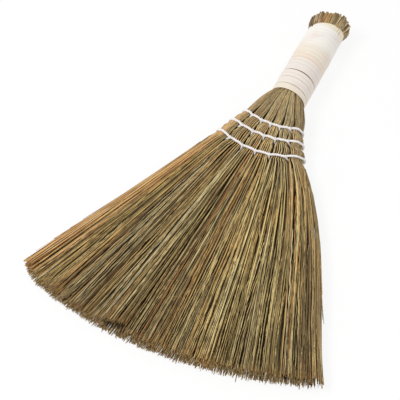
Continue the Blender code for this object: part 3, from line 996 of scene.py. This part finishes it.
# Wound strip: its sizes, its turns, how they tilt towards the butt, and the slips: turn and length
strip_cover = 0.0046
strip_thickness = 0.0010
strip_lap = 0.00003
strip_inset = 0.00022
strip_steps = 96
wrap_loops = 21.4
square_turns = 1.0
wrap_tilt = 0.262
wrap_rise = 0.0006
slips = ((2.40, 0.00040), (6.42, 0.00095))
slip_turns = 0.45

# From this turn on the strip grows wider, and from this y on the handle grows thinner
wide_turn, wide_growth = 11.5, 0.00045
thin_start, thin_length, thin_share = 0.010, 0.035, 0.035

# The strip's section: shares of its width, and of its thickness from the turn's radius
strip_profile = np.array([
    (-0.50, -0.90), (-0.50, -0.30), (-0.47, -0.06), (-0.38, 0.03), (-0.18, 0.07), (0.0, 0.10),
    (0.18, 0.12), (0.36, 0.10), (0.46, 0.02), (0.50, -0.25), (0.50, -0.90),
])


def build_strip():
    """The strip, wound square at both ends, with small slips from turn to turn."""
    rng = np.random.default_rng(5)
    count = int(wrap_loops * strip_steps) + 1
    turn = np.arange(count) / strip_steps

    def uneven(size, cells):
        return size * (value_noise(rng, turn, cells, 0.0, wrap_loops) - 0.5)

    climb = clamped((turn - square_turns) / (wrap_loops - 2 * square_turns))
    middle = reach_start + strip_low + strip_cover / 2 + climb * (rim_reach - strip_low - strip_cover)
    middle += uneven(0.00012, 44)
    for at, size in slips:
        middle += size * clamped(1 - abs(turn - at) / slip_turns)
    width = strip_cover + strip_lap + uneven(0.00014, 30)
    width += wide_growth * clamped((turn - wide_turn) / 2.0)
    height = grip_radius - strip_inset + uneven(0.00022, 60)
    y = middle[:, None] + strip_profile[:, 0] * width[:, None]
    narrowing = 1 - thin_share * clamped((y - thin_start) / thin_length)
    radius = (height[:, None] + strip_profile[:, 1] * strip_thickness) * narrowing
    angle = 2 * np.pi * turn[:, None]
    x = radius * np.sin(angle)
    z = np.maximum(axis_height - radius * np.cos(angle), 0.0)
    tilted = clamped((y + 0.010) / 0.055)
    points = np.stack([x, y + tilted * (wrap_tilt * x + wrap_rise), z], axis=-1)
    told = np.stack(np.broadcast_arrays(
        turn[:, None], strip_profile[:, 0], turn[:, None] / wrap_loops), axis=-1)
    gathering = Gathering()
    gathering.add(points, *sleeve(count, len(strip_profile)), told)
    return gathering


# Stalk ends
stalk_columns = 6
stalk_layers = 19
stalk_hidden = 0.006
stalk_inset = 0.955
butt = bundle.copy()
butt[:4] = (0.0222, 0.0230, axis_height - bundle_radius, 0.0408)
butt[ROUNDNESS] = 0.97


def build_stalks(hurl):
    """The stalks of one hurl from inside the wrap to their rough cut ends."""
    rng = np.random.default_rng(300 + hurl)
    count = stalk_columns * stalk_layers
    column, layer = np.divmod(np.arange(count), stalk_layers)
    column = column + 0.5 + rng.uniform(-0.3, 0.3, count) + 0.5 * (layer % 2) - 0.25
    side = between(stalk_shares[hurl], stalk_shares[hurl + 1], column / stalk_columns * 2 - 1)
    up = (layer + 0.5 + rng.uniform(-0.3, 0.3, count)) / stalk_layers * 2 - 1
    # The wrap's tilted rim hides more of a stalk on the right, and a few stalks are cut shorter
    hidden = wrap_tilt * side * bundle_radius + wrap_rise
    length = butt_length + hidden + rng.uniform(-0.0026, 0.0006, count)
    length = np.where(rng.random(count) < 0.10, length - rng.uniform(0.001, 0.004, count), length)
    length = length - 0.0036 * clamped((abs(side) - 0.55) / 0.45) ** 2
    share = np.linspace(0.0, 1.0, 7)
    back = (length + stalk_hidden)[:, None] * (1 - share)
    out = clamped((length[:, None] - hidden[:, None] - back) / butt_length) ** 0.7
    sections = bundle + (butt - bundle) * out[..., None]
    f = {name: sections[..., i] for i, name in enumerate(FIELDS)}
    reach = -(rim_reach + length[:, None] - back)
    thick = rng.uniform(0.0008, 0.0013, count)
    paths = placed(f, reach, side[:, None] * stalk_inset, up[:, None] * stalk_inset)
    radii = thick[:, None] * (1 + 0.07 * np.sin(share * 9 + rng.random((count, 1)) * 6))
    depth = clamped(1 - np.hypot(side, up))
    lays = (rng.random(count), rng.random(count))
    zones = (side, depth, rng.random(count))
    gathering = Gathering()
    add_tubes(gathering, paths, radii, 6, lays, zones, rng.random(count) * full_turn, cut=True)
    return gathering


straw = straw_material()
shade_core = core_material()
cut_stalks = stalk_material()
strip = strip_material()
twine = twine_material()

for hurl in range(hurl_count):
    number = str(hurl + 1)
    add_piece("straw_" + number, build_hurl(hurl), (straw, shade_core), "hurl_" + number, "hurl_" + number)
    add_piece("stalk_ends_" + number, build_stalks(hurl), (cut_stalks,),
              "stalks_" + number, "stalks_" + number)
add_piece("wound_strip", build_strip(), (strip,), "handle_wrap", "handle_wrap")
for row in range(3):
    number = str(row + 1)
    band = build_twine(band_route(row), band_radius, plies=3, pitch=0.0075, spacing=0.0007, sides=8,
                       seed=40 + row)
    add_piece("twine_band_" + number, band, (twine,), "band_" + number, "band_" + number)
    thread = build_twine(thread_route(row), thread_radius, plies=2, pitch=0.0045, spacing=0.0006,
                         sides=6, seed=50 + row)
    add_piece("twine_thread_" + number, thread, (twine,), "thread_" + number, "thread_" + number)

# Floor, light and camera
floor_size = 6.0
floor_drop = 0.0003
floor_glow = 0.86
world_light = 0.60
image_width = 400
focal_pixels = 1321.1
sensor_width = 36.0


def build_floor():
    """A plain floor that the camera sees nearly white, and on which a soft shadow still shows."""
    mesh = bmesh.new()
    bmesh.ops.create_grid(mesh, x_segments=1, y_segments=1, size=floor_size)
    data = bpy.data.meshes.new("floor")
    mesh.to_mesh(data)
    mesh.free()
    floor = add_object("floor", data)
    floor.location = (0.0, 0.0, -floor_drop)
    n = Nodes("floor")
    path = n.add("LightPath")
    seen = n.math("MAXIMUM", path.outputs["Is Camera Ray"], path.outputs["Is Glossy Ray"])
    glow = n.fill(n.add("Emission"), {"Strength": 1.0})
    blend = n.fill(n.add("MixShader"), {0: n.times(seen, floor_glow), 1: n.shader.outputs[0], 2: glow})
    n.link(blend, n.tree.nodes["Material Output"].inputs["Surface"])
    data.materials.append(n.done(white, roughness=0.9, specular=0.0))


def build_world():
    """Soft light from all round, and white where the camera sees past the floor."""
    world = bpy.data.worlds.new("studio")
    world.use_nodes = True
    nodes, link = world.node_tree.nodes, world.node_tree.links.new
    background = nodes["Background"]
    background.inputs["Color"].default_value = white
    background.inputs["Strength"].default_value = world_light
    backdrop = nodes.new("ShaderNodeBackground")
    backdrop.inputs["Strength"].default_value = 1.0
    path = nodes.new("ShaderNodeLightPath")
    blend = nodes.new("ShaderNodeMixShader")
    link(path.outputs["Is Camera Ray"], blend.inputs[0])
    link(background.outputs[0], blend.inputs[1])
    link(backdrop.outputs[0], blend.inputs[2])
    link(blend.outputs[0], nodes["World Output"].inputs["Surface"])
    bpy.context.scene.world = world


def add_lamp(name, place, target, size, power):
    data = bpy.data.lights.new(name, "AREA")
    data.size = size
    data.energy = power
    lamp = add_object(name, data)
    lamp.location = place
    lamp.rotation_mode = "QUATERNION"
    lamp.rotation_quaternion = (Vector(target) - Vector(place)).to_track_quat("-Z", "Y")


def build_camera():
    """The camera, from the fit to the outline in the photograph."""
    forward = Vector((-0.2436, 0.4871, -0.8387)).normalized()
    right = forward.cross(Vector((0.0, 0.0, 1.0))).normalized()
    up = right.cross(forward)
    position = Vector((0.2784, -0.7982, 1.0616))
    data = bpy.data.cameras.new("camera")
    data.sensor_width = sensor_width
    data.lens = focal_pixels / image_width * sensor_width
    camera = add_object("camera", data)
    turned = Matrix((right, up, -forward)).transposed().to_4x4()
    camera.matrix_world = Matrix.Translation(position) @ turned
    bpy.context.scene.camera = camera


build_floor()
build_world()
add_lamp("key", (-0.55, -0.50, 1.10), (0.0, -0.15, 0.0), 0.45, 7.4)
add_lamp("fill", (0.80, -0.60, 0.90), (0.0, -0.10, 0.0), 0.8, 1.8)
build_camera()
bpy.context.scene.view_settings.view_transform = "Standard"
